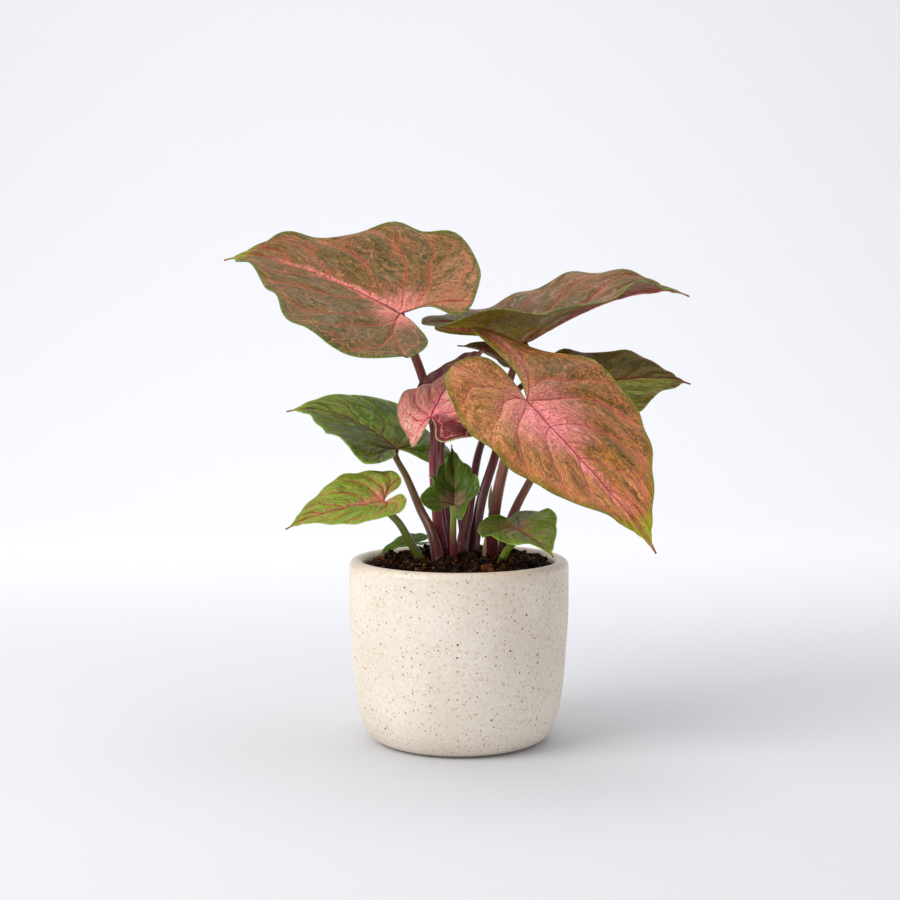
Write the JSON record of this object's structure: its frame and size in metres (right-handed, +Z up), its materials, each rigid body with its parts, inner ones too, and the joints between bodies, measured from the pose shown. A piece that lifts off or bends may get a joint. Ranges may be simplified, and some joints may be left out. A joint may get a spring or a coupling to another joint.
{
  "type": "potted arrowhead plant",
  "caption": "Arrowhead plant with pink and bronze arrow-shaped leaves on long stalks, in a round speckled stoneware pot of potting soil.",
  "frame": {"origin": "centre of the pot's flat foot, on the surface that it stands on", "axes": "+Z up along the pot's axis, -Y towards the viewer that the plant faces, +X to that viewer's right"},
  "size_m": [0.2747, 0.1905, 0.2854],
  "materials": {
    "pot": "satin speckled glaze",
    "soil": "matt, crumbly",
    "blade_upper_left": "satin leaf",
    "blade_upper_right": "satin leaf",
    "blade_front_right": "satin leaf",
    "blade_right_rear": "satin leaf",
    "blade_centre_pink": "satin leaf",
    "blade_centre_maroon": "satin leaf",
    "blade_left": "satin leaf",
    "blade_lower_left": "satin leaf",
    "blade_small_centre": "satin leaf",
    "blade_small_right": "satin leaf",
    "blade_low_rear": "satin leaf",
    "blade_rear": "satin leaf",
    "stalk_upper_left": "satin, waxy",
    "stalk_upper_right": "satin, waxy",
    "stalk_front_right": "satin, waxy",
    "stalk_right_rear": "satin, waxy",
    "stalk_centre_pink": "satin, waxy",
    "stalk_centre_maroon": "satin, waxy",
    "stalk_left": "satin, waxy",
    "stalk_lower_left": "satin, waxy",
    "stalk_small_centre": "satin, waxy",
    "stalk_small_right": "satin, waxy",
    "stalk_low_rear": "satin, waxy",
    "stalk_rear": "satin, waxy",
    "spear": "satin, waxy"
  },
  "bodies": {
    "root": {"pot": "pot", "soil": "soil", "blade_upper_left": "blade_upper_left", "blade_upper_right": "blade_upper_right", "blade_front_right": "blade_front_right", "blade_right_rear": "blade_right_rear", "blade_centre_pink": "blade_centre_pink", "blade_centre_maroon": "blade_centre_maroon", "blade_left": "blade_left", "blade_lower_left": "blade_lower_left", "blade_small_centre": "blade_small_centre", "blade_small_right": "blade_small_right", "blade_low_rear": "blade_low_rear", "blade_rear": "blade_rear", "stalk_upper_left": "stalk_upper_left", "stalk_upper_right": "stalk_upper_right", "stalk_front_right": "stalk_front_right", "stalk_right_rear": "stalk_right_rear", "stalk_centre_pink": "stalk_centre_pink", "stalk_centre_maroon": "stalk_centre_maroon", "stalk_left": "stalk_left", "stalk_lower_left": "stalk_lower_left", "stalk_small_centre": "stalk_small_centre", "stalk_small_right": "stalk_small_right", "stalk_low_rear": "stalk_low_rear", "stalk_rear": "stalk_rear", "spear": "spear"}
  },
  "joints": []
}
